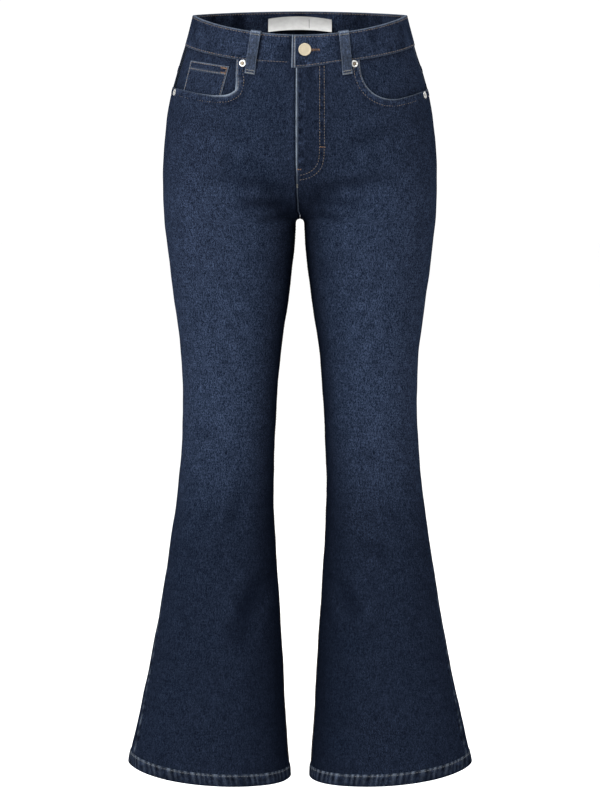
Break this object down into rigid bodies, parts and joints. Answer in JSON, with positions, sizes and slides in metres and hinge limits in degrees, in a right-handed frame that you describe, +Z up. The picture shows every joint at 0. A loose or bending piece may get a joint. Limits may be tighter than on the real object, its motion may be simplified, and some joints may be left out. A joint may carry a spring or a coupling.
{
  "type": "flared five-pocket jeans",
  "caption": "High-waisted flared jeans, filled out and hollow, with curved waistband, fly, belt loops, front scoop pockets, coin pocket and back patch pockets.",
  "frame": {"origin": "middle of the waist opening, level with the top of the waistband at the sides", "axes": "+Z up towards the waist, -Y the front, +X the wearer's left"},
  "size_m": [0.4798, 0.2449, 1.0553],
  "materials": {
    "denim": "dark indigo twill, faded softly on the thighs",
    "denim_band": "folded dark indigo twill with worn edges",
    "thread": "matt sewing thread",
    "label_cloth": "smooth woven tape",
    "zip_brass": "brushed",
    "button_brass": "pale, satin",
    "rivet_nickel": "satin"
  },
  "bodies": {
    "root": {"front_left": "denim", "front_right": "denim", "back_left": "denim", "back_right": "denim", "yoke_left": "denim", "yoke_right": "denim", "pocket_facing_left": "denim", "pocket_facing_right": "denim", "coin_pocket": "denim", "back_pocket_left": "denim", "back_pocket_right": "denim", "fly_facing": "denim", "fly_shield": "denim", "waistband": "denim_band", "hem_left": "denim_band", "hem_right": "denim_band", "belt_loop_1": "denim_band", "belt_loop_2": "denim_band", "belt_loop_3": "denim_band", "belt_loop_4": "denim_band", "belt_loop_5": "denim_band", "zip_tape": "zip_brass", "zip_slider": "zip_brass", "button": "button_brass", "label": "label_cloth", "rivet_1": "rivet_nickel", "rivet_2": "rivet_nickel", "rivet_3": "rivet_nickel", "rivet_4": "rivet_nickel"}
  },
  "joints": []
}
